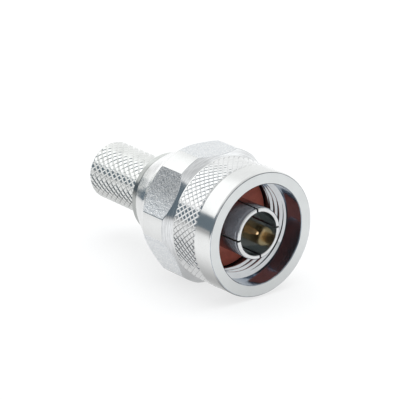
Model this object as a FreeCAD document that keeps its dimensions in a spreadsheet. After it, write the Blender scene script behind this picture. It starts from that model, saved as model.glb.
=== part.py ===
import FreeCAD, Part
import os
import Sketcher

# Straight crimp plug for coaxial cable, 50 ohm, threaded coupling, not yet on a cable.
#
# Frame: the connector's axis is X. The mating end looks along +X and the cable leaves along -X. The origin is on the
# axis, in the mating plane, which is the front end of the slotted outer contact. +Z is up, and the plug lies on one
# flat of its hexagon, whose normal is -Z. Millimetres.
#
# Every axial size below is a distance behind the mating plane. A sketch measures along X from a rear datum, so a
# point's sketch coordinate is datum - distance, and each body's placement moves the datum back to its place.

doc = FreeCAD.newDocument("coaxial_plug")
sheet = doc.addObject("Spreadsheet::Sheet", "Dims")


class Size:
    """A number together with the sheet formula that gives it."""

    def __init__(self, value, text):
        self.value = float(value)
        self.text = text

    @staticmethod
    def of(other):
        return other if isinstance(other, Size) else Size(other, repr(float(other)))

    def __add__(self, other):
        other = Size.of(other)
        return Size(self.value + other.value, "(%s + %s)" % (self.text, other.text))

    def __sub__(self, other):
        other = Size.of(other)
        return Size(self.value - other.value, "(%s - %s)" % (self.text, other.text))

    def __mul__(self, other):
        other = Size.of(other)
        return Size(self.value * other.value, "(%s * %s)" % (self.text, other.text))

    def __truediv__(self, other):
        other = Size.of(other)
        return Size(self.value / other.value, "(%s / %s)" % (self.text, other.text))


row = 0


def dim(alias, value, note):
    """One driving dimension: a plain number in the sheet with an alias."""
    global row
    row += 1
    sheet.set("A%d" % row, note)
    sheet.set("B%d" % row, str(value))
    sheet.setAlias("B%d" % row, alias)
    return Size(value, "Dims." + alias)


datum = dim("datum", 40.0, "rear datum, behind the mating plane")

# coupling nut, outside
nut_proud = dim("nut_proud", 0.5, "nut's front face ahead of the mating plane")
ring_rad = dim("ring_radius", 10.0, "front ring")
ring_cham = dim("ring_chamfer", 0.10, "front ring's outer edge")
ring_end = dim("ring_end", 3.24, "rear edge of the front ring")
ring_break = dim("ring_break", 0.12, "chamfer at the ring's rear edge")
gap_rad = dim("gap_radius", 9.85, "bottom of the line between ring and knurl")
knurl_rad = dim("knurl_radius", 10.05, "knurled band, over the points")
knurl_start = dim("knurl_start", 3.40, "front end of the knurled band")
knurl_end = dim("knurl_end", 8.55, "rear end of the knurled band")
groove_rad = dim("groove_radius", 9.837, "turned groove behind the knurl")
groove_start = dim("groove_start", 8.64, "groove, front")
groove_end = dim("groove_end", 8.70, "groove, rear, where the front cone starts")
land_rad = dim("land_radius", 10.922, "round bar that the flats are milled on")
land_start = dim("land_start", 10.07, "front end of the round lands")
land_end = dim("land_end", 14.89, "rear end of the round lands")
flat_apothem = dim("flat_apothem", 10.233, "half the width across flats")
cone_start = dim("cone_start", 16.05, "front end of the rear cone")
cone_rad = dim("cone_radius", 9.98, "rear cone at its front end")
cone_tip_rad = dim("cone_tip_radius", 6.87, "rear cone at its rear end")
nut_end = dim("nut_end", 22.20, "nut's rear face")
# coupling nut, inside
mouth_rad = dim("mouth_radius", 8.03, "smooth mouth")
mouth_cham = dim("mouth_chamfer", 0.12, "mouth's front edge")
mouth_end = dim("mouth_end", 3.17, "mouth's rear end")
thread_start = dim("thread_start", 3.45, "front end of the thread")
thread_minor = dim("thread_minor_radius", 7.365, "minor radius, 5/8 inch, 24 threads an inch")
thread_end = dim("thread_end", 6.85, "rear end of the thread")
relief_rad = dim("relief_radius", 7.95, "relief behind the thread")
relief_start = dim("relief_start", 7.05, "front end of the relief")
bearing = dim("bearing_face", 13.20, "shoulder that pulls the flange forward")
nut_bore = dim("nut_bore_radius", 6.25, "bore that turns on the journal")

# slotted outer contact
oc_rad = dim("contact_radius", 4.118, "outer contact, outside")
oc_bore = dim("contact_bore_radius", 3.5, "outer contact, inside")
oc_cham = dim("contact_chamfer", 0.15, "front outer edge")
oc_line_front = dim("contact_line_front", 0.45, "shallow turned line behind the tips, front")
oc_line_rear = dim("contact_line_rear", 0.75, "shallow turned line behind the tips, rear")
oc_line_rad = dim("contact_line_radius", 4.06, "shallow turned line behind the tips")
oc_foot_rad = dim("contact_foot_radius", 4.3, "foot that the gasket is stretched over")
oc_seat_rad = dim("contact_seat_radius", 4.6, "part pressed into the front body")
oc_end = dim("contact_end", 13.5, "rear end")
slot_width = dim("slot_width", 0.32, "width of each slot")
slot_end = dim("slot_end", 7.6, "rear end of each slot")
slot_turn = dim("slot_turn", 4.6, "turn of the slots about the axis, degrees")
seam_turn = dim("seam_turn", 45.0, "turn of the slots from the turned faces' seam, degrees")

# gasket
gasket_front = dim("gasket_front", 8.1, "gasket's front face")
gasket_rad = dim("gasket_radius", 7.75, "gasket, outside")

# front body
body_front = dim("body_front", 9.9, "flange's front face, where the gasket sits")
flange_rad = dim("flange_radius", 7.3, "flange")
flange_end = dim("flange_end", 13.0, "flange's rear face")
journal_rad = dim("journal_radius", 6.2, "journal that the nut turns on")
body_end = dim("body_end", 22.4, "rear end of the front body")

# insulators
bead_rad = dim("bead_radius", 3.7, "both beads, outside")
bead_front = dim("bead_front", 9.3, "front bead's front face")
bead_split = dim("bead_split", 12.3, "front bead's rear face")
bead_rear = dim("bead_rear", 16.5, "rear bead's rear face")

# centre contact
pin_tip = dim("pin_tip", 0.28, "tip")
pin_tip_rad = dim("pin_tip_radius", 0.27, "tip, where its rounding meets the taper")
pin_taper = dim("pin_taper_end", 3.4, "rear end of the taper")
pin_rad = dim("pin_radius", 0.82, "contact pin")
pin_step = dim("pin_step", 5.3, "shoulder")
core_rad = dim("core_radius", 1.52, "inner conductor behind the shoulder")
collar_rad = dim("collar_radius", 2.0, "collar held between the beads")
cup_rad = dim("cup_radius", 1.35, "cup, outside")
cup_bore = dim("cup_bore_radius", 0.95, "cup, inside")
cup_depth = dim("cup_depth", 4.5, "depth of the cup")

# crimp body
spigot_rad = dim("spigot_radius", 5.0, "spigot pressed into the front body")
rim_rad = dim("rim_radius", 6.62, "collar that shows behind the nut")
rim_cham = dim("rim_chamfer", 0.12, "edges of the collar")
rim_end = dim("rim_end", 23.4, "collar's rear face")
seat_rad = dim("ferrule_seat_radius", 4.05, "step that centres the ferrule")
seat_end = dim("ferrule_seat_end", 24.9, "rear end of that step")
stem_rad = dim("stem_radius", 3.05, "crimp stem, outside")
stem_bore = dim("stem_bore_radius", 2.55, "crimp stem, inside")
stem_end = dim("stem_end", 32.5, "rear end of the stem")
stem_groove = dim("stem_groove_depth", 0.16, "depth of the grooves round the stem")
stem_pitch = dim("stem_groove_pitch", 1.2, "pitch of the grooves round the stem")

# ferrule
fer_front = dim("ferrule_front", 23.45, "ferrule's front end")
fer_end = dim("ferrule_end", 37.17, "ferrule's rear end")
fer_rad = dim("ferrule_radius", 4.74, "ferrule, over the knurl")
fer_bore = dim("ferrule_bore_radius", 4.1, "ferrule, inside")
fer_cham = dim("ferrule_chamfer", 0.12, "ferrule's front edge")
fer_round = dim("ferrule_round", 0.32, "ferrule's rear outer edge")

doc.recompute()

bodies = []


def new_body(label):
    body = doc.addObject("PartDesign::Body", label)
    body.Label = label
    bodies.append(body)
    return body


def origin_part(body, role):
    return [f for f in body.Origin.OriginFeatures if f.Role == role][0]


def new_sketch(body, name, plane):
    sk = body.newObject("Sketcher::SketchObject", name)
    sk.AttachmentSupport = [(origin_part(body, plane), "")]
    sk.MapMode = "FlatFace"
    return sk


def bind(sk, kind, args, size, name):
    """Add a dimension to a sketch and bind it to the sheet."""
    i = sk.addConstraint(Sketcher.Constraint(kind, *(args + (size.value,))))
    sk.renameConstraint(i, name)
    sk.setExpression("Constraints." + name, size.text)


def profile(body, name, points):
    """A closed outline in the XZ plane: (distance behind the mating plane, radius) at each corner, 0 for the axis."""
    sk = new_sketch(body, name, "XZ_Plane")
    at = []
    for back, rad in points:
        x = datum - back
        at.append((x, None if rad == 0 else Size.of(rad)))
    n = len(at)
    v = [FreeCAD.Vector(x.value, 0.0 if r is None else r.value, 0) for x, r in at]
    for i in range(n):
        sk.addGeometry(Part.LineSegment(v[i], v[(i + 1) % n]), False)
    for i in range(n):
        sk.addConstraint(Sketcher.Constraint("Coincident", i, 2, (i + 1) % n, 1))
    for i, (x, r) in enumerate(at):
        bind(sk, "DistanceX", (-1, 1, i, 1), x, "x%02d" % i)
        if r is None:
            sk.addConstraint(Sketcher.Constraint("PointOnObject", i, 1, -1))
        else:
            bind(sk, "DistanceY", (-1, 1, i, 1), r, "y%02d" % i)
    return sk


def revolve(body, name, points):
    sk = profile(body, name + "_outline", points)
    rev = body.newObject("PartDesign::Revolution", name)
    rev.Profile = sk
    rev.ReferenceAxis = (sk, ["H_Axis"])
    rev.Angle = 360.0
    sk.Visibility = False
    doc.recompute()
    return rev


def ring_edge(feature, back, rad):
    """Name of the circular edge of this radius at this distance behind the mating plane, in a body still at its datum."""
    x = datum.value - back
    for i, e in enumerate(feature.Shape.Edges):
        c = e.Curve
        if isinstance(c, Part.Circle) and abs(c.Radius - rad) < 1e-4 and abs(c.Center.x - x) < 1e-4:
            return "Edge%d" % (i + 1)
    raise ValueError("no edge at %g, radius %g" % (back, rad))


def round_edge(body, base, name, edges, size):
    f = body.newObject("PartDesign::Fillet", name)
    f.Base = (base, edges)
    f.Radius = size.value
    f.setExpression("Radius", size.text)
    doc.recompute()
    return f


plane = Size(0.0, "0.0")

# ---- coupling nut: turned from bar, then six flats milled
nut = new_body("coupling_nut")
front = plane - nut_proud
revolve(nut, "nut_turned", [
    (front, mouth_rad + mouth_cham),
    (front, ring_rad - ring_cham),
    (front + ring_cham, ring_rad),
    (ring_end - ring_break, ring_rad),
    (ring_end, ring_rad - ring_break),
    (ring_end, gap_rad),
    (ring_end + 0.06, gap_rad),
    (knurl_start, knurl_rad),
    (knurl_end, knurl_rad),
    (groove_start, groove_rad),
    (groove_end, groove_rad),
    (land_start, land_rad),
    (land_end, land_rad),
    (cone_start, cone_rad),
    (nut_end - 0.08, cone_tip_rad),
    (nut_end, cone_tip_rad - 0.08),
    (nut_end, nut_bore + 0.15),
    (nut_end - 0.15, nut_bore),
    (bearing, nut_bore),
    (bearing, relief_rad),
    (relief_start, relief_rad),
    (thread_end, thread_minor),
    (thread_start, thread_minor),
    (mouth_end, mouth_rad),
    (front + mouth_cham, mouth_rad),
])
before = nut.Tip.Shape.Volume
sk = new_sketch(nut, "flats_outline", "YZ_Plane")
corner = flat_apothem / 0.8660254037844386
six = [FreeCAD.Vector(corner.value * a, corner.value * b, 0) for a, b in (
    (1.0, 0.0), (0.5, 0.8660254037844386), (-0.5, 0.8660254037844386),
    (-1.0, 0.0), (-0.5, -0.8660254037844386), (0.5, -0.8660254037844386))]
for i in range(6):
    sk.addGeometry(Part.LineSegment(six[i], six[(i + 1) % 6]), False)
sk.addGeometry(Part.Circle(FreeCAD.Vector(0, 0, 0), FreeCAD.Vector(0, 0, 1), corner.value), True)
sk.addGeometry(Part.Circle(FreeCAD.Vector(0, 0, 0), FreeCAD.Vector(0, 0, 1), land_rad.value + 3.0), False)
for i in range(6):
    sk.addConstraint(Sketcher.Constraint("Coincident", i, 2, (i + 1) % 6, 1))
for i in range(6):
    sk.addConstraint(Sketcher.Constraint("PointOnObject", i, 1, 6))
for i in range(1, 6):
    sk.addConstraint(Sketcher.Constraint("Equal", 0, i))
sk.addConstraint(Sketcher.Constraint("Coincident", 6, 3, -1, 1))
sk.addConstraint(Sketcher.Constraint("Coincident", 7, 3, -1, 1))
sk.addConstraint(Sketcher.Constraint("PointOnObject", 0, 1, -1))
bind(sk, "Radius", (6,), corner, "hex_corner")
bind(sk, "Radius", (7,), land_rad + 3.0, "stock")
flats = nut.newObject("PartDesign::Pocket", "nut_flats")
flats.Profile = sk
flats.Type = 1
flats.Reversed = True
doc.recompute()
print("flats took %.2f mm3 off the nut" % (before - nut.Tip.Shape.Volume))

# ---- outer contact: a turned sleeve, sawn into four fingers
contact = new_body("outer_contact")
revolve(contact, "contact_turned", [
    (plane, oc_bore + 0.06),
    (plane, oc_rad - oc_cham),
    (plane + oc_cham, oc_rad),
    (oc_line_front, oc_rad),
    (oc_line_front + 0.05, oc_line_rad),
    (oc_line_rear - 0.05, oc_line_rad),
    (oc_line_rear, oc_rad),
    (gasket_front, oc_rad),
    (gasket_front, oc_foot_rad),
    (body_front, oc_foot_rad),
    (body_front, oc_seat_rad),
    (oc_end, oc_seat_rad),
    (oc_end, bead_rad),
    (bead_front, bead_rad),
    (bead_front, oc_bore),
    (plane + 0.06, oc_bore),
])
before = contact.Tip.Shape.Volume
sk = new_sketch(contact, "slot_outline", "XY_Plane")
# the seam of the turned faces lies in the middle of a finger, not in a slot
sk.AttachmentOffset = FreeCAD.Placement(FreeCAD.Vector(0, 0, 0), FreeCAD.Rotation(FreeCAD.Vector(1, 0, 0), seam_turn.value))
sk.setExpression("AttachmentOffset.Rotation.Angle", "Dims.seam_turn")
xa, xb, half = datum - slot_end, datum + 1.0, slot_width / 2.0
pts = [FreeCAD.Vector(xa.value, -half.value, 0), FreeCAD.Vector(xb.value, -half.value, 0),
       FreeCAD.Vector(xb.value, half.value, 0), FreeCAD.Vector(xa.value, half.value, 0)]
for i in range(4):
    sk.addGeometry(Part.LineSegment(pts[i], pts[(i + 1) % 4]), False)
for i in range(4):
    sk.addConstraint(Sketcher.Constraint("Coincident", i, 2, (i + 1) % 4, 1))
sk.addConstraint(Sketcher.Constraint("Horizontal", 0))
sk.addConstraint(Sketcher.Constraint("Horizontal", 2))
sk.addConstraint(Sketcher.Constraint("Vertical", 1))
sk.addConstraint(Sketcher.Constraint("Symmetric", 0, 1, 2, 2, -1))
bind(sk, "DistanceX", (-1, 1, 0, 1), xa, "slot_rear")
bind(sk, "DistanceX", (-1, 1, 0, 2), xb, "slot_front")
bind(sk, "DistanceY", (0, 1, 2, 2), slot_width, "slot_wide")
slot = contact.newObject("PartDesign::Pocket", "slot")
slot.Profile = sk
slot.Type = 0
slot.Length = 6.0
slot.setExpression("Length", (oc_rad + 2.0).text)
slot.Reversed = True
doc.recompute()
one = before - contact.Tip.Shape.Volume
four = contact.newObject("PartDesign::PolarPattern", "slots")
four.Originals = [slot]
four.Axis = (origin_part(contact, "X_Axis"), [""])
four.Angle = 360.0
four.Occurrences = 4
contact.Tip = four
doc.recompute()
print("one slot takes %.3f mm3, four take %.3f mm3" % (one, before - contact.Tip.Shape.Volume))

# ---- centre contact: long tapered tip, shoulder, trapped collar, conductor cup
pin = new_body("center_contact")
revolve(pin, "pin_turned", [
    (pin_tip, 0),
    (pin_tip, pin_tip_rad * 0.45),
    (pin_tip + 0.05, pin_tip_rad * 0.80),
    (pin_tip + 0.15, pin_tip_rad),
    (pin_taper, pin_rad),
    (pin_step, pin_rad),
    (pin_step, core_rad - 0.12),
    (pin_step + 0.12, core_rad),
    (bead_split, core_rad),
    (bead_split, collar_rad),
    (oc_end, collar_rad),
    (oc_end, cup_rad),
    (bead_rear, cup_rad),
    (bead_rear, cup_bore),
    (bead_rear - cup_depth, cup_bore),
    (bead_rear - cup_depth, 0),
])

# ---- insulating beads
bead = new_body("front_insulator")
revolve(bead, "front_bead", [
    (bead_front, core_rad), (bead_front, bead_rad), (bead_split, bead_rad), (bead_split, core_rad)])
bead2 = new_body("rear_insulator")
revolve(bead2, "rear_bead", [
    (oc_end, cup_rad), (oc_end, bead_rad), (bead_rear, bead_rad), (bead_rear, cup_rad)])

# ---- gasket
gasket = new_body("face_gasket")
g = revolve(gasket, "gasket_ring", [
    (gasket_front, oc_foot_rad), (gasket_front, gasket_rad), (body_front, gasket_rad), (body_front, oc_foot_rad)])
round_edge(gasket, g, "gasket_edge", [ring_edge(g, gasket_front.value, gasket_rad.value)], Size(0.2, "0.2"))

# ---- front body: flange, journal and three inner steps
fbody = new_body("front_body")
revolve(fbody, "front_body_turned", [
    (body_front, oc_seat_rad),
    (body_front, flange_rad - 0.1),
    (body_front + 0.1, flange_rad),
    (flange_end - 0.1, flange_rad),
    (flange_end, flange_rad - 0.1),
    (flange_end, journal_rad),
    (body_end, journal_rad),
    (body_end, spigot_rad),
    (bead_rear, spigot_rad),
    (bead_rear, bead_rad),
    (oc_end, bead_rad),
    (oc_end, oc_seat_rad),
])

# ---- crimp body: spigot, collar, step for the ferrule and grooved stem
cbody = new_body("crimp_body")
outline = [
    (bead_rear, stem_bore),
    (bead_rear, spigot_rad - 0.2),
    (bead_rear + 0.2, spigot_rad),
    (body_end, spigot_rad),
    (body_end, rim_rad - rim_cham),
    (body_end + rim_cham, rim_rad),
    (rim_end - rim_cham, rim_rad),
    (rim_end, rim_rad - rim_cham),
    (rim_end, seat_rad),
    (seat_end - 0.15, seat_rad),
    (seat_end, seat_rad - 0.15),
    (seat_end, stem_rad),
]
for k in range(5):
    a = seat_end + stem_pitch * (k + 0.75)
    outline += [(a, stem_rad), (a + 0.15, stem_rad - stem_groove), (a + 0.35, stem_rad - stem_groove), (a + 0.5, stem_rad)]
outline += [
    (stem_end - 0.25, stem_rad),
    (stem_end, stem_rad - 0.25),
    (stem_end, stem_bore + 0.08),
    (stem_end - 0.08, stem_bore),
]
revolve(cbody, "crimp_body_turned", outline)

# ---- ferrule
ferrule = new_body("crimp_ferrule")
f = revolve(ferrule, "ferrule_tube", [
    (fer_front, fer_bore),
    (fer_front, fer_rad - fer_cham),
    (fer_front + fer_cham, fer_rad),
    (fer_end, fer_rad),
    (fer_end, fer_bore + 0.1),
    (fer_end - 0.1, fer_bore),
])
round_edge(ferrule, f, "ferrule_lip", [ring_edge(f, fer_end.value, fer_rad.value)], fer_round)

# ---- each body's datum goes back to its place; the outer contact is also turned by its slots' angle
for b in bodies:
    turn = (slot_turn - seam_turn).value if b is contact else 0.0
    b.Placement = FreeCAD.Placement(FreeCAD.Vector(-datum.value, 0, 0), FreeCAD.Rotation(FreeCAD.Vector(1, 0, 0), turn))
    b.setExpression("Placement.Base.x", "-Dims.datum")
contact.setExpression("Placement.Rotation.Angle", (slot_turn - seam_turn).text)
doc.recompute()

# ---- checks before anything is written
for o in doc.Objects:
    for s_ in o.State:
        if "Invalid" in s_ or "Error" in s_:
            raise RuntimeError("%s is %s" % (o.Label, o.State))
for b in bodies:
    if b.Shape.isNull() or not b.Shape.isValid() or len(b.Shape.Solids) != 1:
        raise RuntimeError("%s: null, not valid or not one solid" % b.Label)

os.makedirs("parts", exist_ok=True)
for b in bodies:
    b.Shape.exportStep(os.path.join("parts", b.Label + ".step"))
    bb = b.Shape.BoundBox
    print("%-16s %9.3f mm3  x %.3f..%.3f  y %.3f..%.3f  z %.3f..%.3f" % (
        b.Label, b.Shape.Volume, bb.XMin, bb.XMax, bb.YMin, bb.YMax, bb.ZMin, bb.ZMax))
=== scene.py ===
import math

import bpy
import numpy as np
from mathutils import Matrix


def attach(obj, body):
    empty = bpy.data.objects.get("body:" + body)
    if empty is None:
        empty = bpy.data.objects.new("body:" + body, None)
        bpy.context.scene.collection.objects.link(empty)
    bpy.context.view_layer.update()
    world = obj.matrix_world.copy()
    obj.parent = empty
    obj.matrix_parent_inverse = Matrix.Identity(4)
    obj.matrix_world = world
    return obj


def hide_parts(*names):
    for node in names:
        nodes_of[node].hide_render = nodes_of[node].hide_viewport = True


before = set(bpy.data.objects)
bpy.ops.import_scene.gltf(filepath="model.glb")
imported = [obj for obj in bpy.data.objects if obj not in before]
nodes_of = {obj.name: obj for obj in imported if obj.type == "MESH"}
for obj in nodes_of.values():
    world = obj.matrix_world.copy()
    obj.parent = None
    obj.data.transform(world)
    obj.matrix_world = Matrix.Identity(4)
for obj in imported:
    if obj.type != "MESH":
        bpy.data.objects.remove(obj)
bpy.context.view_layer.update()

# The part's axis is X. Sizes below are millimetres: d is the distance behind the mating plane (d = -x), r the distance
# from the axis, and th the angle about the axis, atan2(z, y). Meshes are written in metres.
TAU = 2 * math.pi
MM = 0.001
scene = bpy.context.scene


# ---------------------------------------------------------------- mesh tools
class Build:
    """Rings of vertices and the faces between them."""

    def __init__(self):
        self.co, self.count, self.faces, self.mats = [], 0, [], []

    def ring(self, d, r, th):
        d, r, th = np.broadcast_arrays(np.asarray(d, float), np.asarray(r, float), np.asarray(th, float))
        pts = np.stack([-d, r * np.cos(th), r * np.sin(th)], -1)
        ids = np.arange(self.count, self.count + len(pts))
        self.co.append(pts)
        self.count += len(pts)
        return ids

    def point(self, d):
        self.co.append(np.array([[-d, 0.0, 0.0]]))
        self.count += 1
        return self.count - 1

    def face(self, ids, mat=0):
        self.faces.append(tuple(int(i) for i in ids))
        self.mats.append(mat)

    def loop(self, a, b, mat=0, closed=True):
        n = len(a)
        for i in range(n if closed else n - 1):
            j = (i + 1) % n
            self.face((a[i], a[j], b[j], b[i]), mat)

    def fan(self, a, p, mat=0):
        n = len(a)
        for i in range(n):
            self.face((a[i], a[(i + 1) % n], p), mat)

    def bridge(self, a, ta, b, tb, mat=0):
        """Triangles between two closed rings that have different numbers of columns."""
        ta, tb = np.asarray(ta, float), np.asarray(tb, float)
        k = int(np.argmin(np.abs((tb - ta[0] + math.pi) % TAU - math.pi)))
        b, tb = np.roll(b, -k), np.roll(tb, -k)
        ua = ta[0] + np.concatenate([[0], np.cumsum((np.roll(ta, -1) - ta) % TAU)])
        first = ta[0] + (tb[0] - ta[0] + math.pi) % TAU - math.pi
        ub = first + np.concatenate([[0], np.cumsum((np.roll(tb, -1) - tb) % TAU)])
        na, nb, i, j = len(a), len(b), 0, 0
        while i < na or j < nb:
            if j >= nb or (i < na and ua[i + 1] <= ub[j + 1]):
                self.face((a[i % na], a[(i + 1) % na], b[j % nb]), mat)
                i += 1
            else:
                self.face((a[i % na], b[(j + 1) % nb], b[j % nb]), mat)
                j += 1

    def lathe(self, points, n, turn=0.0, closed=True):
        """points: (d, r, material of the face that follows). r 0 is on the axis."""
        th = turn + np.arange(n) * TAU / n
        rings = [self.point(p[0]) if p[1] == 0 else self.ring(p[0], p[1], th) for p in points]
        pairs = list(zip(range(len(points)), range(1, len(points))))
        if closed:
            pairs.append((len(points) - 1, 0))
        for i, j in pairs:
            a, b, mat = rings[i], rings[j], points[i][2]
            if np.ndim(a) == 0 and np.ndim(b) == 0:
                continue
            if np.ndim(a) == 0:
                self.fan(b, a, mat)
            elif np.ndim(b) == 0:
                self.fan(a, b, mat)
            else:
                self.loop(a, b, mat)
        return rings

    def object(self, name, materials, sharp_deg):
        co = np.concatenate(self.co)
        key = np.round(co * 1e5 + 0.31415).astype(np.int64)  # weld what meets within a hundredth of a micrometre
        _, first, back = np.unique(key, axis=0, return_index=True, return_inverse=True)
        back = back.reshape(-1)
        order = np.argsort(first)
        rank = np.empty(len(order), int)
        rank[order] = np.arange(len(order))
        co, back = co[first[order]], rank[back]
        faces, mats = [], []
        for f, m in zip(self.faces, self.mats):
            g = [int(back[i]) for i in f]
            g = [g[i] for i in range(len(g)) if g[i] != g[i - 1]]
            if len(g) > 2 and len(set(g)) == len(g):
                faces.append(g)
                mats.append(m)
        mesh = bpy.data.meshes.new(name)
        mesh.from_pydata((co * MM).tolist(), [], faces)
        mesh.polygons.foreach_set("material_index", np.array(mats, np.int32))
        import bmesh

        bm = bmesh.new()
        bm.from_mesh(mesh)
        open_edges = sum(1 for e in bm.edges if len(e.link_faces) != 2)
        bmesh.ops.recalc_face_normals(bm, faces=bm.faces)
        if bm.calc_volume(signed=True) < 0:
            bmesh.ops.reverse_faces(bm, faces=bm.faces)
        bm.to_mesh(mesh)
        bm.free()
        for m in materials:
            mesh.materials.append(m)
        mesh.polygons.foreach_set("use_smooth", np.ones(len(mesh.polygons), bool))
        mesh.set_sharp_from_angle(angle=math.radians(sharp_deg))
        mesh.update()
        tris = sum(len(p.vertices) - 2 for p in mesh.polygons)
        print(f"{name}: {len(co)} vertices, {tris} triangles, {open_edges} open edges")
        o = bpy.data.objects.new(name, mesh)
        scene.collection.objects.link(o)
        return o


def soften(points, w, closed=False, least=12.0):
    """Each corner of an outline becomes two, w either side of it, so that every edge is broken as on a real part."""
    out, n = [], len(points)
    for i, p in enumerate(points):
        if not closed and i in (0, n - 1):
            out.append(p)
            continue
        a, b, c = (np.array(points[j % n][:2], float) for j in (i - 1, i, i + 1))
        u, v = b - a, c - b
        lu, lv = np.linalg.norm(u), np.linalg.norm(v)
        if b[1] == 0 or lu < 1e-9 or lv < 1e-9:
            out.append(p)
            continue
        turn = math.degrees(math.acos(max(-1.0, min(1.0, float(u @ v) / lu / lv))))
        if turn < least:
            out.append(p)
            continue
        k, m = min(w, 0.35 * lu), min(w, 0.35 * lv)
        before = points[i - 1][2]
        q1, q2 = b - u / lu * k, b + v / lv * m
        out.append((q1[0], q1[1], before))
        out.append((q2[0], q2[1], p[2]))
    return out


def smooth01(t):
    t = np.clip(t, 0, 1)
    return t * t * (3 - 2 * t)


def knurl(build, K, sub, th_top, d_top, pitch, skew, d0, d1, base, fade, grooves, mat):
    """A diamond knurl with flat-topped points.

    Two families of V grooves cross, K of each round the part. th_top, d_top is the middle of one diamond, pitch the
    axial pitch, skew how far the diamonds drift round the part in one axial pitch (radians), base(d) the outer radius,
    fade(d) the share of the full depth, and grooves the depth of each family and its half width as a share of the
    spacing. The second family is the finer one. Returns the first and last rows of vertices with their angles."""
    n = 2 * K * sub
    step = pitch / (2 * sub)
    m0, m1 = math.ceil((d0 - d_top) / step + 0.2), math.floor((d1 - d_top) / step - 0.2)
    rows = [(d0, m0 - 1)] + [(d_top + m * step, m) for m in range(m0, m1 + 1)] + [(d1, m1 + 1)]
    c = np.arange(n)
    ring, angles = [], []
    for d, _ in rows:
        i, j = c / sub, (d - d_top) / (pitch / 2)
        deep = np.zeros(n)
        for phi, (cut, half) in (((i + j) / 2, grooves[0]), ((i - j) / 2, grooves[1])):
            g = np.abs((phi % 1.0) - 0.5) / half
            deep = np.maximum(deep, cut * (1 - np.minimum(g, 1.0)))
        th = th_top + c * TAU / n + skew * (d - d_top) / pitch
        uneven = 1 + 0.10 * np.sin(7 * th + 1.3) * math.cos(2.1 * d) + 0.08 * np.sin(19 * th + 4.3 * d)
        ring.append(build.ring(d, base(d) - fade(d) * deep * uneven, th))
        angles.append(th)
    for k in range(len(rows) - 1):
        a, b = ring[k], ring[k + 1]
        J = math.floor(rows[k][1] / sub)
        for q in range(n):
            s = (q + 1) % n
            if (q // sub + J) % 2 == 0:
                build.face((a[q], a[s], b[q]), mat)
                build.face((a[s], b[s], b[q]), mat)
            else:
                build.face((a[q], a[s], b[s]), mat)
                build.face((a[q], b[s], b[q]), mat)
    return ring[0], angles[0], ring[-1], angles[-1]


# ---------------------------------------------------------------- material tools
class Graph:
    """Short names for the nodes of one material or world."""

    def __init__(self, tree):
        self.tree = tree
        self.links = tree.links

    def node(self, kind, **values):
        n = self.tree.nodes.new(kind)
        for k, v in values.items():
            setattr(n, k, v)
        return n

    def put(self, socket, v):
        if isinstance(v, bpy.types.NodeSocket):
            self.links.new(v, socket)
        elif v is not None:
            socket.default_value = v

    def math(self, op, a, b=None, c=None, clamp=False):
        n = self.node("ShaderNodeMath", operation=op, use_clamp=clamp)
        for s, v in zip(n.inputs, (a, b, c)):
            self.put(s, v)
        return n.outputs[0]

    def vec(self, op, a, b=None, scale=None):
        n = self.node("ShaderNodeVectorMath", operation=op)
        self.put(n.inputs[0], a)
        if b is not None:
            self.put(n.inputs[1], b)
        if scale is not None:
            self.put(n.inputs["Scale"], scale)
        return n.outputs["Value"] if op in ("DOT_PRODUCT", "LENGTH", "DISTANCE") else n.outputs["Vector"]

    def span(self, v, a, b, lo=0.0, hi=1.0, smooth=True):
        n = self.node("ShaderNodeMapRange", interpolation_type="SMOOTHSTEP" if smooth else "LINEAR")
        for name, x in (("Value", v), ("From Min", a), ("From Max", b), ("To Min", lo), ("To Max", hi)):
            self.put(n.inputs[name], x)
        return n.outputs["Result"]

    def mix(self, fac, a, b):
        n = self.node("ShaderNodeMix", data_type="RGBA")
        self.put(n.inputs[0], fac)
        self.put(n.inputs[6], a)
        self.put(n.inputs[7], b)
        return n.outputs[2]

    def noise(self, vector, scale, detail=2.0, rough=0.5):
        n = self.node("ShaderNodeTexNoise")
        self.put(n.inputs["Vector"], vector)
        self.put(n.inputs["Scale"], scale)
        self.put(n.inputs["Detail"], detail)
        self.put(n.inputs["Roughness"], rough)
        return n.outputs["Fac"]

    def join(self, x, y, z):
        n = self.node("ShaderNodeCombineXYZ")
        for s, v in zip(n.inputs, (x, y, z)):
            self.put(s, v)
        return n.outputs[0]

    def place(self):
        """Millimetres in the part's frame: the point, and (x, radius)."""
        p = self.vec("SCALE", self.node("ShaderNodeTexCoord").outputs["Object"], scale=1000.0)
        s = self.node("ShaderNodeSeparateXYZ")
        self.put(s.inputs[0], p)
        r = self.vec("LENGTH", self.join(0.0, s.outputs[1], s.outputs[2]))
        return p, s.outputs[0], s.outputs[1], s.outputs[2], r

    def bump(self, height, strength, distance, normal=None):
        n = self.node("ShaderNodeBump")
        self.put(n.inputs["Height"], height)
        n.inputs["Strength"].default_value = strength
        n.inputs["Distance"].default_value = distance
        if normal is not None:
            self.put(n.inputs["Normal"], normal)
        return n.outputs[0]


def material(name):
    m = bpy.data.materials.new(name)
    m.use_nodes = True
    m.node_tree.nodes.clear()
    g = Graph(m.node_tree)
    out = g.node("ShaderNodeOutputMaterial")
    bsdf = g.node("ShaderNodeBsdfPrincipled")
    g.links.new(bsdf.outputs[0], out.inputs[0])
    return m, g, bsdf


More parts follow.
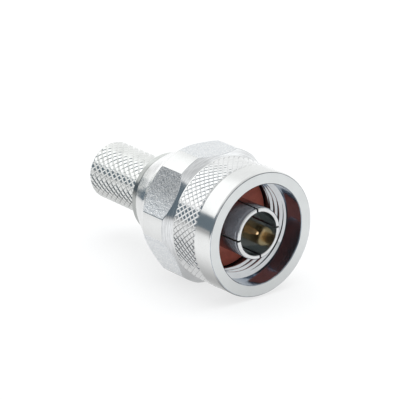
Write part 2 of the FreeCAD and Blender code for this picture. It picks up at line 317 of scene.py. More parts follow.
def turned(name, tint, rough, feed=0.11, mark=0.25, spread=0.06, aniso=0.0, stain=0.05, grain=0.0, metal=1.0, shade=None, tall=3.5, streak=0.0, groove_shade=None):
    """Plated, turned metal: fine rings round the axis from the tool's feed, soft cloudy changes of gloss and tint,
    and short hairlines along the rings."""
    m, g, b = material(name)
    p, x, y, z, r = g.place()
    ringed = g.join(x, r, 0.0)
    rings = g.noise(ringed, 1.0 / feed, 3.0, 0.6)
    broad = g.noise(ringed, 0.9, 2.0, 0.5)
    cloud = g.noise(p, 0.55, 3.0, 0.55)
    # hairlines follow the rings: the point is squeezed along the direction round the axis
    u = g.math("DIVIDE", y, r)
    v = g.math("DIVIDE", z, r)
    hair = g.noise(g.join(g.math("MULTIPLY", x, 9.0), g.math("MULTIPLY", r, 9.0), g.math("ADD", g.math("MULTIPLY", u, 2.0), g.math("MULTIPLY", v, 2.3))), 1.3, 2.0, 0.5)
    hairs = g.span(hair, 0.66, 0.74)
    dark = tuple(c * (1 - stain * 2.2) for c in tint) + (1,)
    light = tuple(min(1.0, c * (1 + stain * 0.4)) for c in tint) + (1,)
    colour = g.mix(g.span(cloud, 0.35, 0.7), light, dark)
    colour = g.mix(g.math("MULTIPLY", hairs, 0.25), colour, tuple(c * 0.72 for c in tint) + (1,))
    if streak:  # brushed lines of lighter and darker metal that follow the rings for a few millimetres
        line = g.noise(g.join(g.math("MULTIPLY", x, 5.5), g.math("MULTIPLY", r, 1.5), g.math("ADD", g.math("MULTIPLY", u, 3.0), g.math("MULTIPLY", v, 3.4))), 1.6, 3.0, 0.6)
        colour = g.vec("SCALE", colour, scale=g.span(line, 0.34, 0.66, 1.0 - streak, 1.0 + 0.4 * streak))
    if groove_shade:  # painted shade in the knurl's grooves, only over a band of heights: (radius at the bottom, at the top, share, height, height, rear end, lower height)
        deep = g.span(r, groove_shade[0], groove_shade[1], groove_shade[2], 0.0)
        deep = g.math("MULTIPLY", deep, g.span(z, groove_shade[3], groove_shade[4], 1.0, 0.0))
        deep = g.math("MULTIPLY", deep, g.span(x, groove_shade[5], groove_shade[5] + 0.3))
        deep = g.math("MULTIPLY", deep, g.span(z, groove_shade[6], groove_shade[6] + 2.2))
        colour = g.vec("SCALE", colour, scale=g.math("SUBTRACT", 1.0, deep))
    if shade:  # painted shade and light by height: below the first height the tint is scaled by the share, darker low down where the share is under 1, lighter where it is over 1 (height where it starts to brighten, height where it is bright, share of the tint below)
        colour = g.vec("SCALE", colour, scale=g.span(z, shade[0], shade[1], shade[2], 1.0))
    g.put(b.inputs["Base Color"], colour)
    b.inputs["Metallic"].default_value = metal
    ro = g.math("MULTIPLY_ADD", g.math("SUBTRACT", cloud, 0.5), spread * 2.0, rough)
    ro = g.math("MULTIPLY_ADD", g.math("SUBTRACT", broad, 0.5), spread, ro)
    ro = g.math("MULTIPLY_ADD", hairs, 0.12, ro, clamp=True)
    g.put(b.inputs["Roughness"], ro)
    height = g.math("MULTIPLY_ADD", broad, 0.35, rings)
    n = g.bump(height, mark, tall * 1e-6)
    if grain:
        n = g.bump(g.noise(p, 16.0, 3.0, 0.6), grain, 0.000006, n)
    g.put(b.inputs["Normal"], n)
    if aniso:
        b.inputs["Anisotropic"].default_value = aniso
        b.inputs["Anisotropic Rotation"].default_value = 0.25  # the rings left by the tool spread a reflection along the axis
        t = g.node("ShaderNodeTangent", direction_type="RADIAL", axis="X")
        g.put(b.inputs["Tangent"], t.outputs[0])
    return m


# ---------------------------------------------------------------- materials
# every shade=(...) below is painted shade by height, and painted light low down where its share is over 1; every
# groove_shade=(...) is painted shade in a knurl's grooves
NICKEL = (0.79, 0.795, 0.79)
m_turned = turned("nickel_turned", NICKEL, 0.14, feed=0.12, mark=0.40, spread=0.04, aniso=0.5, stain=0.012, grain=0.05, shade=(-9.0, 2.5, 0.52), tall=4.5)
# a copy of the turned nickel for the front ring, with deeper painted shade low down
m_ring = turned("nickel_ring", NICKEL, 0.14, feed=0.12, mark=0.40, spread=0.04, aniso=0.5, stain=0.012, grain=0.05, shade=(-7.5, -0.3, 0.33), tall=4.5)
m_fcone = turned("nickel_front_cone", (0.775, 0.785, 0.795), 0.12, feed=0.16, mark=0.9, spread=0.05, aniso=0.3, stain=0.03, grain=0.05, shade=(-7.5, 2.5, 0.70), tall=7.0, streak=0.15)
m_cone = turned("nickel_cone", (0.80, 0.805, 0.80), 0.13, feed=0.12, mark=0.06, spread=0.02, stain=0.02, shade=(1.8, 3.2, 0.74))
# a darker copy of the nickel for the faces: painted shade, darker still low down
m_face = turned("nickel_faced", (0.672, 0.69, 0.69), 0.30, feed=0.08, mark=0.2, spread=0.02, stain=0.01, grain=0.04, shade=(-9.0, -1.0, 0.87))
# a dark copy of the nickel for the edges of the front face and the mouth: painted shade along the edges, made lighter
# low down by its height shading
m_edge = turned("nickel_edge", (0.25, 0.275, 0.305), 0.24, feed=0.10, mark=0.2, spread=0.12, stain=0.22, grain=0.35, shade=(0.5, 3.5, 1.7))
# a darker copy of the nickel for the broken edge in front of the lands and flats: painted shade along that edge
m_break = turned("nickel_broken_edge", (0.62, 0.635, 0.65), 0.22, feed=0.10, mark=0.2, spread=0.06, stain=0.08, grain=0.2)
# a lighter copy of the nickel for the knurl: painted light, with painted shade low down and in the grooves
m_knurl = turned("nickel_knurl", (0.88, 0.885, 0.885), 0.10, feed=0.2, mark=0.08, spread=0.04, stain=0.02, grain=0.08, shade=(-1.5, 4.0, 0.70), groove_shade=(9.92, 10.03, 0.55, 0.8, 2.6, -9.0, -5.2))
m_mouth = turned("nickel_burnished", (0.42, 0.48, 0.56), 0.11, feed=0.10, mark=0.05, spread=0.02, aniso=0.3, stain=0.02, metal=0.95)
# a darker copy of the nickel for the thread: painted shade inside the nut, made lighter low down by its height shading
m_thread = turned("nickel_thread", (0.56, 0.575, 0.592), 0.05, feed=0.08, mark=0.10, spread=0.03, stain=0.03, metal=0.96, shade=(-6.2, -2.6, 1.5))
# the dark tint of the relief, shoulder and bore is painted shade in the recess behind the thread
m_relief = turned("nickel_relief", (0.26, 0.27, 0.29), 0.35, feed=0.15, mark=0.20, spread=0.06, stain=0.05)
# its darker tint is painted shade inside the mouth
m_contact = turned("bronze_turned", (0.38, 0.39, 0.425), 0.22, feed=0.12, mark=0.10, spread=0.03, aniso=0.6, stain=0.02)
# the slot walls' near-black tint is painted shade in the narrow slots
m_slot = turned("bronze_slot_painted_shade", (0.11, 0.115, 0.13), 0.40, feed=0.12, mark=0.10, spread=0.04, stain=0.05)
m_bore = turned("bronze_bore", (0.54, 0.59, 0.61), 0.12, feed=0.12, mark=0.06, spread=0.03, aniso=0.6, stain=0.03)
m_rim = turned("bronze_rim", (0.69, 0.70, 0.705), 0.24, feed=0.08, mark=0.12, spread=0.05, stain=0.03)
m_gold = turned("gold_turned", (1.0, 0.70, 0.38), 0.20, feed=0.09, mark=0.08, spread=0.04, aniso=0.3, stain=0.02, metal=0.84)
m_body = turned("nickel_body", (0.48, 0.50, 0.47), 0.20, feed=0.10, mark=0.15, spread=0.04, aniso=0.4, stain=0.03)
m_collar = turned("nickel_collar", (0.76, 0.78, 0.76), 0.20, feed=0.10, mark=0.15, spread=0.04, aniso=0.4, stain=0.03, shade=(5.0, 6.6, 0.54))
m_ferrule = turned("nickel_ferrule", (0.84, 0.85, 0.835), 0.12, feed=0.2, mark=0.06, spread=0.05, stain=0.04, grain=0.12, shade=(-3.2, 2.2, 0.65), groove_shade=(4.62, 4.72, 0.55, 0.2, 1.8, -36.8, -9.0))


def milled():
    """The hexagon's flats: milled, then plated matte, with a fine broken texture."""
    m, g, b = material("nickel_milled")
    p, x, y, z, r = g.place()
    lump = g.noise(p, 2.1, 3.0, 0.75)
    fine = g.noise(p, 3.4, 2.0, 0.65)
    cloud = g.noise(p, 0.35, 2.0, 0.5)
    specks = g.span(g.noise(p, 4.2, 1.0, 0.5), 0.555, 0.625)
    colour = g.mix(g.span(lump, 0.40, 0.60), (0.74, 0.762, 0.785, 1), (0.80, 0.815, 0.83, 1))
    colour = g.mix(g.math("MULTIPLY", specks, 0.85), colour, (0.98, 0.98, 0.97, 1))
    # painted shade by height: the upper side faces darker than the top one, the lower ones a little
    flat_shade = g.math("MAXIMUM", g.span(z, 1.4, 6.2, 1.18, 0.67), g.span(z, 9.4, 9.8, 0.0, 1.05))
    flat_shade = g.math("MULTIPLY", flat_shade, g.span(z, -2.0, -0.5, 0.77, 1.0))
    colour = g.vec("SCALE", colour, scale=flat_shade)
    g.put(b.inputs["Base Color"], colour)
    b.inputs["Metallic"].default_value = 1.0
    ro = g.math("MULTIPLY_ADD", g.math("SUBTRACT", fine, 0.5), 0.14, 0.36)
    ro = g.math("MULTIPLY_ADD", g.math("SUBTRACT", cloud, 0.5), 0.08, ro, clamp=True)
    g.put(b.inputs["Roughness"], ro)
    n = g.bump(lump, 1.0, 0.00022)
    n = g.bump(fine, 1.0, 0.00007, n)
    g.put(b.inputs["Normal"], n)
    return m


def silicone():
    """The gasket: smooth brick-red silicone with a faint bloom and a few specks of dust."""
    m, g, b = material("silicone_red")
    p, x, y, z, r = g.place()
    cloud = g.noise(p, 0.7, 3.0, 0.55)
    grain = g.noise(p, 12.0, 2.0, 0.5)
    dust = g.span(g.noise(p, 3.1, 0.0, 0.5), 0.80, 0.84)
    colour = g.mix(g.span(cloud, 0.35, 0.65), (0.62, 0.170, 0.123, 1), (0.74, 0.215, 0.157, 1))
    colour = g.mix(g.math("MULTIPLY", dust, 0.8), colour, (0.85, 0.42, 0.25, 1))
    g.put(b.inputs["Base Color"], colour)
    b.inputs["Metallic"].default_value = 0.0
    b.inputs["IOR"].default_value = 1.42
    g.put(b.inputs["Roughness"], g.math("MULTIPLY_ADD", g.math("SUBTRACT", cloud, 0.5), 0.2, 0.42))
    b.inputs["Sheen Weight"].default_value = 0.25
    b.inputs["Sheen Roughness"].default_value = 0.4
    g.put(b.inputs["Normal"], g.bump(grain, 0.15, 0.00001))
    return m


def ptfe():
    """The insulating beads: white, waxy, faintly mottled by the cut."""
    m, g, b = material("ptfe_white")
    p, x, y, z, r = g.place()
    rings = g.noise(g.join(x, r, 0.0), 6.0, 3.0, 0.6)
    cloud = g.noise(p, 0.8, 3.0, 0.55)
    g.put(b.inputs["Base Color"], g.mix(cloud, (0.78, 0.775, 0.74, 1), (0.86, 0.855, 0.83, 1)))
    b.inputs["Metallic"].default_value = 0.0
    b.inputs["IOR"].default_value = 1.35
    g.put(b.inputs["Roughness"], g.math("MULTIPLY_ADD", g.math("SUBTRACT", cloud, 0.5), 0.15, 0.5))
    g.put(b.inputs["Normal"], g.bump(rings, 0.2, 0.000008))
    return m


m_flat = milled()
m_gasket = silicone()
m_ptfe = ptfe()

# ---------------------------------------------------------------- coupling nut
TURNED, FACE, KNURL, FLAT, MOUTH, THREAD, EDGE, CONE, RELIEF, FCONE, BREAK, RING = range(12)
nut = Build()
K_NUT, SUB_NUT = 63, 6
N_KNURL = 2 * K_NUT * SUB_NUT
th_knurl = math.radians(153.7) + np.arange(N_KNURL) * TAU / N_KNURL


def rings_of(build, points, th):
    ids = [build.ring(p[0], p[1], th) for p in points]
    for i in range(len(ids) - 1):
        build.loop(ids[i], ids[i + 1], points[i][2])
    return ids


# front ring, from the front face back to the line in front of the knurl
front = rings_of(nut, soften([
    (-0.50, 9.60, FACE), (-0.50, 9.75, EDGE), (-0.455, 9.835, RING), (-0.35, 9.94, RING), (-0.20, 9.996, RING),
    (0.0, 10.0, RING), (1.4, 10.0, RING), (3.12, 10.0, TURNED), (3.24, 9.88, TURNED), (3.24, 9.85, TURNED), (3.30, 9.85, TURNED)], 0.03), th_knurl)
k_first, k_th0, k_last, k_th1 = knurl(
    nut, K_NUT, SUB_NUT, math.radians(153.7), 4.45, 1.130, -0.0008, 3.40, 8.27,
    lambda d: 10.05 - 0.10 * max(0.0, (3.46 - d) / 0.06), lambda d: min(1.0, 0.5 + (d - 3.40) / 0.15),
    ((0.14, 1 / 6), (0.105, 0.125)), KNURL)
nut.bridge(front[-1], th_knurl, k_first, k_th0, TURNED)
# plain band behind the knurl, down to the turned groove
band = rings_of(nut, soften([
    (8.30, 10.045, TURNED), (8.55, 10.045, TURNED), (8.64, 9.837, TURNED), (8.66, 9.837, TURNED)], 0.03), k_th1)
nut.loop(k_last, band[0], KNURL)

# round lands and flats: each column of the mesh follows the cones up to the flat or the land that it meets
APOTHEM, LAND = 10.233, 10.922
half_flat = math.acos(APOTHEM / LAND)
cols = []
for s in range(6):
    centre = math.radians(30 + 60 * s)
    cols += [centre + a for a in np.linspace(-half_flat + 0.005, half_flat - 0.005, 36)]
    cols += [centre + half_flat + 0.005 + a for a in np.linspace(0, math.radians(60) - 2 * half_flat - 0.010, 17)]
cols = np.array(cols)
phi = (cols - math.radians(30) + math.radians(30)) % math.radians(60) - math.radians(30)
on_flat = np.abs(phi) < half_flat
r_top = np.where(on_flat, APOTHEM / np.cos(phi), LAND)
F0, F1 = (8.70, 9.837), (10.07, 10.922)  # front cone
B0, B1 = (14.89, 10.922), (16.05, 9.98)  # rear chamfer
slope_f = (F1[1] - F0[1]) / (F1[0] - F0[0])
slope_b = (B0[1] - B1[1]) / (B1[0] - B0[0])
d_a = F0[0] + (r_top - F0[1]) / slope_f
d_b = B0[0] + (B0[1] - r_top) / slope_b
E = 0.05
rows = [(F0[0] + 0 * cols, F0[1] + 0 * cols, FCONE), (F0[0] + 0.04 + 0 * cols, F0[1] + 0.03 + 0 * cols, FCONE)]
for t in (0.5,):
    rows.append((F0[0] + (d_a - F0[0]) * t, F0[1] + (r_top - F0[1]) * t, FCONE))
rows.append((d_a - E, r_top - E * slope_f, BREAK))
for t in (0.0, 0.2, 0.4, 0.6, 0.8, 1.0):
    rows.append((d_a + E + (d_b - d_a - 2 * E) * t, r_top, None))
rows.append((d_b + E, r_top - E * slope_b, TURNED))
rows.append(((d_b + B1[0]) / 2, (r_top + B1[1]) / 2, TURNED))
rows.append((B1[0] - 0.03 + 0 * cols, B1[1] + 0.03 * slope_b + 0 * cols, CONE))
slope_r = (9.98 - 6.87) / (22.12 - 16.05)
for d in (16.08, 17.5, 19.0, 20.5, 22.05):
    rows.append((d + 0 * cols, 9.98 - (d - 16.05) * slope_r + 0 * cols, CONE))
rows += [(22.13 + 0 * cols, 6.862 + 0 * cols, CONE), (22.185 + 0 * cols, 6.81 + 0 * cols, CONE),
         (22.20 + 0 * cols, 6.78 + 0 * cols, FACE), (22.20 + 0 * cols, 6.6 + 0 * cols, FACE)]
hexes = [nut.ring(d, r, cols) for d, r, _ in rows]
nc = len(cols)
both_flat = on_flat & np.roll(on_flat, -1)
for k in range(len(rows) - 1):
    a, b, mat = hexes[k], hexes[k + 1], rows[k][2]
    for i in range(nc):
        j = (i + 1) % nc
        m = mat
        if m is None:
            m = FLAT if both_flat[i] and k < len(rows) - 1 else TURNED
        nut.face((a[i], a[j], b[j], b[i]), m)
nut.bridge(band[-1], k_th1, hexes[0], cols, TURNED)

# inside: mouth, lead-in, right-hand thread of 24 turns an inch, relief, bearing shoulder and bore
N_IN = 288
th_in = np.arange(N_IN) * TAU / N_IN
inner = rings_of(nut, soften([
    (-0.50, 8.22, FACE), (-0.50, 8.15, EDGE), (-0.38, 8.03, MOUTH), (1.2, 8.03, MOUTH), (3.17, 8.03, MOUTH)], 0.02), th_in)
nut.bridge(front[0], th_knurl, inner[0], th_in, FACE)
PITCH, MINOR, MAJOR = 25.4 / 24, 7.365, 7.938


def thread_radius(d, th):
    p = (d / PITCH + th / TAU + 0.222) % 1.0
    xs = np.array([0.0, 0.03, 0.06, 0.17, 0.21, 0.545, 0.58, 0.67, 0.70, 1.0])
    ys = np.array([0.10, 0.03, 0.0, 0.0, 0.04, 0.97, 1.0, 1.0, 0.97, 0.10])
    return MINOR + (MAJOR - MINOR) * np.interp(p, xs, ys)


def lead_in(d):
    return 8.03 + (MINOR - 8.03) * (d - 3.17) / (3.45 - 3.17)


def relief(d):
    return MINOR + (7.95 - MINOR) * (d - 6.85) / (7.05 - 6.85)


def meet(f, lo, hi, th):
    """Where f changes sign between lo and hi, for each angle."""
    lo, hi = np.full(th.shape, lo), np.full(th.shape, hi)
    for _ in range(50):
        mid = (lo + hi) / 2
        up = f(mid, th) > 0
        lo, hi = np.where(up, mid, lo), np.where(up, hi, mid)
    return (lo + hi) / 2


th_seam = np.arange(N_IN + 1) * TAU / N_IN
d_in = meet(lambda d, th: lead_in(d) - thread_radius(d, th), 3.17, 3.45, th_seam)
d_out = meet(lambda d, th: thread_radius(d, th) - relief(d), 6.85, 7.05, th_seam)
phases = np.array([0.0, 0.03, 0.06, 0.115, 0.17, 0.21, 0.29, 0.37, 0.46, 0.545, 0.58, 0.625, 0.67, 0.70, 0.77, 0.85, 0.93])
turns = np.arange(1, 10)
levels = (turns[:, None] + phases[None, :]).reshape(-1) - 0.222
helix = []
for lv in levels:
    d = PITCH * (lv - th_seam / TAU)
    d = np.clip(d, d_in, d_out)
    helix.append(nut.ring(d, thread_radius(d, th_seam), th_seam))
for k in range(len(helix) - 1):
    nut.loop(helix[k], helix[k + 1], THREAD, closed=False)
for t0, t1 in ((0.0, 0.5), (0.5, 1.0)):
    ends = []
    for t in (t0, t1):
        d = 3.17 + (d_in - 3.17) * t
        ends.append(nut.ring(d, lead_in(d), th_seam))
    nut.loop(ends[0], ends[1], THREAD, closed=False)
    ends = []
    for t in (t0, t1):
        d = d_out + (7.05 - d_out) * t
        ends.append(nut.ring(d, relief(d), th_seam))
    nut.loop(ends[0], ends[1], THREAD, closed=False)
inside = rings_of(nut, soften([
    (7.05, 7.95, RELIEF), (9.0, 7.95, RELIEF), (13.20, 7.95, RELIEF), (13.20, 6.25, RELIEF), (17.0, 6.25, RELIEF),
    (22.05, 6.25, RELIEF), (22.20, 6.40, FACE), (22.20, 6.50, FACE)], 0.03), th_in)
nut.bridge(hexes[-1], cols, inside[-1], th_in, FACE)
nut_piece = nut.object("nut_body", [m_turned, m_face, m_knurl, m_flat, m_mouth, m_thread, m_edge, m_cone, m_relief, m_fcone, m_break, m_ring], 9.0)
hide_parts("coupling_nut")
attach(nut_piece, "nut")

# ---------------------------------------------------------------- crimp ferrule
fer = Build()
K_FER, SUB_FER = 26, 8
F_ROUND = 0.32


def fer_base(d):
    if d < 23.57:
        return 4.62 + (d - 23.45)
    if d > 37.17 - F_ROUND:
        t = min(1.0, (d - (37.17 - F_ROUND)) / F_ROUND)
        return 4.74 - F_ROUND + F_ROUND * math.sqrt(max(0.0, 1 - t * t))
    return 4.74


def fer_fade(d):
    if d > 36.6:
        return max(0.0, 1 - (d - 36.6) / 0.57) ** 0.7
    return min(1.0, 0.5 + (d - 23.45) / 0.3)


f_first, f_th0, f_last, f_th1 = knurl(
    fer, K_FER, SUB_FER, math.radians(161.2), 32.09, 1.288, 0.09 / 4.74, 23.45, 37.17 - 0.012, fer_base, fer_fade,
    ((0.13, 3 / 16 + 0.01), (0.10, 1 / 8 + 0.01)), 0)
f_in = rings_of(fer, [(37.17, 4.40, 1), (37.17, 4.22, 1), (37.15, 4.18, 1), (37.07, 4.10, 1), (33.0, 4.10, 1), (28.0, 4.10, 1),
                      (23.47, 4.10, 1), (23.45, 4.12, 1), (23.45, 4.3, 1)], f_th1)
fer.loop(f_last, f_in[0], 1)
fer.bridge(f_in[-1], f_th1, f_first, f_th0, 1)
fer_piece = fer.object("ferrule_knurled", [m_ferrule, m_body], 24.0)
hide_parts("crimp_ferrule")
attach(fer_piece, "ferrule")

# ---------------------------------------------------------------- slotted outer contact
oc = Build()
C_OUT, C_RIM, C_BORE, C_SLOT = range(4)
outer = [(0.0, 3.96, C_RIM), (0.02, 3.985, C_RIM), (0.13, 4.108, C_OUT), (0.17, 4.118, C_OUT), (0.45, 4.118, C_OUT), (0.50, 4.06, C_OUT),
         (0.70, 4.06, C_OUT), (0.75, 4.118, C_OUT), (2.5, 4.118, C_OUT), (5.0, 4.118, C_OUT), (7.6, 4.118, C_OUT)]
inner_c = [(0.0, 3.58, C_RIM), (0.06, 3.50, C_BORE), (2.5, 3.50, C_BORE), (5.0, 3.50, C_BORE), (7.6, 3.50, C_BORE)]
SLOT, TURN = 0.32, math.radians(4.6)
NF = 48


def finger_row(d, r):
    """One row of all four fingers: each finger's columns, from one slot's wall to the next."""
    half = math.asin(SLOT / 2 / r)
    out = []
    for q in range(4):
        a0 = TURN + q * TAU / 4 + half
        out.append(oc.ring(d, r, np.linspace(a0, a0 + TAU / 4 - 2 * half, NF)))
    return out


rows_out = [finger_row(p[0], p[1]) for p in outer]
rows_in = [finger_row(p[0], p[1]) for p in inner_c]
for q in range(4):
    for k in range(len(outer) - 1):
        oc.loop(rows_out[k][q], rows_out[k + 1][q], outer[k][2], closed=False)
    for k in range(len(inner_c) - 1):
        oc.loop(rows_in[k][q], rows_in[k + 1][q], inner_c[k][2], closed=False)
    oc.loop(rows_out[0][q], rows_in[0][q], C_RIM, closed=False)
    for end in (0, -1):  # the slot's walls
        o, i = [r[q][end] for r in rows_out], [r[q][end] for r in rows_in]
        oc.face(o + i[::-1], C_SLOT)
    nxt = (q + 1) % 4  # the slot's bottom
    oc.face((rows_out[-1][q][-1], rows_out[-1][nxt][0], rows_in[-1][nxt][0], rows_in[-1][q][-1]), C_SLOT)
th_oc = np.concatenate([np.linspace(TURN + q * TAU / 4 + math.asin(SLOT / 2 / 4.118), TURN + (q + 1) * TAU / 4 - math.asin(SLOT / 2 / 4.118), NF)
                        for q in range(4)])
th_oi = np.concatenate([np.linspace(TURN + q * TAU / 4 + math.asin(SLOT / 2 / 3.5), TURN + (q + 1) * TAU / 4 - math.asin(SLOT / 2 / 3.5), NF)
                        for q in range(4)])
tail_o = [np.concatenate(rows_out[-1])] + [oc.ring(d, r, th_oc) for d, r in (
    (8.10, 4.118), (8.10, 4.30), (9.90, 4.30), (9.90, 4.60), (13.50, 4.60), (13.50, 3.70))]
tail_i = [np.concatenate(rows_in[-1])] + [oc.ring(d, r, th_oi) for d, r in ((9.30, 3.50), (9.30, 3.70))]
for t, mat in ((tail_o, C_OUT), (tail_i, C_BORE)):
    for k in range(len(t) - 1):
        oc.loop(t[k], t[k + 1], mat)
oc.bridge(tail_o[-1], th_oc, tail_i[-1], th_oi, C_OUT)
oc_piece = oc.object("contact_sleeve", [m_contact, m_rim, m_bore, m_slot], 14.0)
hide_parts("outer_contact")
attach(oc_piece, "core")

# ---------------------------------------------------------------- centre contact, gasket and crimp body
pin = Build()
tip = [(0.28, 0.0, 0)] + [(0.28 + 0.15 * (1 - math.cos(t)), 0.27 * math.sin(t), 0) for t in np.linspace(0.18, math.pi / 2 - 0.1, 9)]
pin.lathe(tip + soften([
    (0.45, 0.2744, 0), (1.8, 0.5294, 0), (3.4, 0.82, 0), (4.3, 0.82, 0), (5.3, 0.82, 0), (5.3, 1.40, 0), (5.42, 1.52, 0), (8.0, 1.52, 0),
    (12.3, 1.52, 0), (12.3, 2.0, 0), (13.5, 2.0, 0), (13.5, 1.35, 0), (16.5, 1.35, 0), (16.5, 0.95, 0), (12.0, 0.95, 0), (12.0, 0.0, 0)],
    0.03), 128, closed=False)
pin_piece = pin.object("pin_gold", [m_gold], 26.0)
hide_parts("center_contact")
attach(pin_piece, "core")

gas = Build()
gas.lathe([(8.10, 4.34, 0), (8.10, 5.4, 0), (8.10, 6.5, 0), (8.10, 7.55, 0)]
          + [(8.30 - 0.2 * math.cos(t), 7.55 + 0.2 * math.sin(t), 0) for t in np.linspace(0.2, math.pi / 2, 7)]
          + [(9.0, 7.75, 0), (9.86, 7.75, 0), (9.90, 7.71, 0), (9.90, 4.30, 0), (8.14, 4.30, 0)], 192)
gas_piece = gas.object("gasket_ring", [m_gasket], 40.0)
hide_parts("face_gasket")
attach(gas_piece, "core")

cb = Build()
outline = [(16.5, 2.55, 0), (16.5, 4.8, 0), (16.7, 5.0, 0), (22.4, 5.0, 0), (22.4, 6.5, 1), (22.52, 6.62, 1), (22.9, 6.62, 1), (23.28, 6.62, 1),
           (23.4, 6.5, 0), (23.4, 4.05, 0), (24.75, 4.05, 0), (24.9, 3.9, 0), (24.9, 3.05, 0)]
for k in range(5):
    a = 24.9 + 1.2 * (k + 0.75)
    outline += [(a, 3.05, 0), (a + 0.15, 2.89, 0), (a + 0.35, 2.89, 0), (a + 0.5, 3.05, 0)]
outline += [(32.25, 3.05, 0), (32.5, 2.8, 0), (32.5, 2.63, 0), (32.42, 2.55, 0), (28.0, 2.55, 0), (22.0, 2.55, 0)]
cb.lathe(soften(outline, 0.025, closed=True), 192)
cb_piece = cb.object("rear_body", [m_body, m_collar], 14.0)
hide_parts("crimp_body")
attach(cb_piece, "core")

for name, mat in (("front_body", m_body), ("front_insulator", m_ptfe), ("rear_insulator", m_ptfe)):
    o = nodes_of[name]
    if not o.material_slots:
        o.data.materials.append(mat)
    for s in o.material_slots:
        s.material = mat

# ---------------------------------------------------------------- floor, light and camera
bpy.ops.mesh.primitive_plane_add(size=8.0, location=(0, 0, -0.010233))
floor = bpy.context.object
floor.name = "floor"
fm, fg, fb = material("floor_pale")
fb.inputs["Roughness"].default_value = 0.9
fb.inputs["Specular IOR Level"].default_value = 0.1
fp = fg.node("ShaderNodeTexCoord").outputs["Object"]
fs = fg.node("ShaderNodeSeparateXYZ")
fg.put(fs.inputs[0], fp)
aside = fg.math("MULTIPLY_ADD", fs.outputs[0], -0.5, fg.math("MULTIPLY", fs.outputs[1], -0.866))  # metres away from the side of the painted light
# painted falloff: the floor's colour and glow fade away from the side of the painted light
painted_falloff = fg.span(aside, 0.030, 0.20, 1.0, 0.40)
pool = fg.math("MULTIPLY", fg.span(fs.outputs[0], -0.22, -0.13, 1.0, 0.0), fg.span(fs.outputs[1], 0.0, 0.02))  # a painted pool of light
pool = fg.math("MULTIPLY", pool, fg.span(fs.outputs[1], 0.075, 0.125, 1.0, 0.0))
grain = fg.noise(fp, 3.0, 2.0, 0.5)
pale = fg.vec("SCALE", fg.mix(grain, (0.262, 0.266, 0.270, 1), (0.278, 0.281, 0.284, 1)), scale=painted_falloff)
fg.put(fb.inputs["Base Color"], pale)
# the floor glows: painted light, scaled by the painted falloff and the painted pool
fg.put(fb.inputs["Emission Color"], fg.vec("SCALE", (1.0, 1.0, 1.0), scale=fg.math("MULTIPLY_ADD", pool, 0.38, painted_falloff)))
fb.inputs["Emission Strength"].default_value = 0.71
floor.data.materials.append(fm)

world = bpy.data.worlds.new("studio")
scene.world = world
world.use_nodes = True
world.node_tree.nodes.clear()
w = Graph(world.node_tree)
direction = w.vec("NORMALIZE", w.node("ShaderNodeTexCoord").outputs["Generated"])
sep = w.node("ShaderNodeSeparateXYZ")
w.put(sep.inputs[0], direction)
dx, dy, dz = sep.outputs


def spot(az_deg, el_deg, inner, outer):
    """1 near a direction, falling to 0 between two angles from it."""
    a, e = math.radians(az_deg), math.radians(el_deg)
    c = w.vec("DOT_PRODUCT", direction, (math.cos(a) * math.cos(e), math.sin(a) * math.cos(e), math.sin(e)))
    return w.span(c, math.cos(math.radians(outer)), math.cos(math.radians(inner)))


az = w.math("FLOORED_MODULO", w.math("MULTIPLY", w.math("ARCTAN2", dy, dx), 180 / math.pi), 360.0)
el = w.math("MULTIPLY", w.math("ARCSINE", dz), 180 / math.pi)
# a tent of white cloth behind and over the part; its lower edge rises towards the dark room on the camera's left
low = w.math("MULTIPLY_ADD", w.span(az, 172.0, 187.0), 22.0, -5.0)
low = w.math("MULTIPLY_ADD", w.span(az, 219.0, 312.0), 31.0, low)
low = w.math("MULTIPLY_ADD", w.span(az, 315.0, 328.0), -56.0, low)
lit = w.span(w.math("SUBTRACT", el, low), -1.5, 2.0)
front = w.math("ADD", w.span(az, 314.0, 328.0), w.span(az, 66.0, 84.0, 1.0, 0.0))
level = w.math("MULTIPLY_ADD", front, -0.34, 1.0)
over = w.span(el, 48.0, 66.0)
level = w.math("ADD", w.math("MULTIPLY", level, w.math("SUBTRACT", 1.0, over)), w.math("MULTIPLY", over, 0.80))
level = w.math("ADD", level, w.math("MULTIPLY", spot(-160, 36, 8, 34), 0.32))
level = w.math("ADD", level, w.math("MULTIPLY", spot(88, 37, 6, 26), 0.20))
level = w.math("ADD", level, w.math("MULTIPLY", spot(65, 59, 4, 18), 0.22))
bright = w.vec("SCALE", (0.99, 1.0, 1.0), scale=level)
sky = w.mix(lit, (0.150, 0.190, 0.222, 1), bright)
bg = w.node("ShaderNodeBackground")
w.put(bg.inputs[0], sky)
bg.inputs[1].default_value = 1.0
wo = w.node("ShaderNodeOutputWorld")
w.links.new(bg.outputs[0], wo.inputs[0])


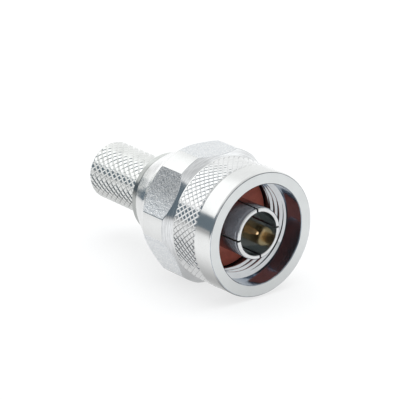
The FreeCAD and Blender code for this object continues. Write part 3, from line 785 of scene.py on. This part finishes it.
def soft_box(name, location, target, size, power, glossy=True):
    data = bpy.data.lights.new(name, "AREA")
    data.shape = "RECTANGLE"
    data.size, data.size_y = size
    data.energy = power
    o = bpy.data.objects.new(name, data)
    scene.collection.objects.link(o)
    o.location = location
    v = np.array(target, float) - np.array(location, float)
    v /= np.linalg.norm(v)
    from mathutils import Vector

    o.rotation_mode = "QUATERNION"
    o.rotation_quaternion = Vector(v).to_track_quat("-Z", "Y")
    o.visible_glossy = glossy
    o.visible_camera = False
    return o


def shade_card(name, az_deg, near, far, half_deg, tint):
    """A dark card lying on the table, for the metal to reflect: painted shade standing in for the table's shadow behind
    the part. It isn't seen directly.
    """
    a0, a1 = math.radians(az_deg - half_deg), math.radians(az_deg + half_deg)
    z = -0.010233 + 0.0002
    mesh = bpy.data.meshes.new(name)
    mesh.from_pydata([(near * math.cos(a0), near * math.sin(a0), z), (far * math.cos(a0), far * math.sin(a0), z),
                      (far * math.cos(a1), far * math.sin(a1), z), (near * math.cos(a1), near * math.sin(a1), z)], [], [(0, 1, 2, 3)])
    m, g, b = material(name)
    b.inputs["Base Color"].default_value = (*tint, 1)
    b.inputs["Roughness"].default_value = 0.9
    b.inputs["Specular IOR Level"].default_value = 0.0
    mesh.materials.append(m)
    o = bpy.data.objects.new(name, mesh)
    scene.collection.objects.link(o)
    o.visible_camera = o.visible_diffuse = o.visible_shadow = False
    return o


# painted shade behind the part, seen only in reflections
shade_card("shade_card_rear", 182, 0.071, 0.134, 22, (0.10, 0.135, 0.165))
soft_box("overhead", (-0.05, 0.15, 1.4), (0, 0, 0), (1.6, 1.6), 12.0, glossy=False)

cam_data = bpy.data.cameras.new("camera")
cam_data.sensor_width = 36.0
cam_data.lens = 244.34
cam_data.clip_start, cam_data.clip_end = 0.01, 50.0
cam = bpy.data.objects.new("camera", cam_data)
scene.collection.objects.link(cam)
cam.matrix_world = Matrix((
    (0.61946, -0.27168, 0.73652, 0.296653),
    (0.78503, 0.21437, -0.58119, -0.245505),
    (0.00001, 0.93821, 0.34607, 0.147495),
    (0, 0, 0, 1)))
scene.camera = cam
scene.view_settings.view_transform = "Standard"
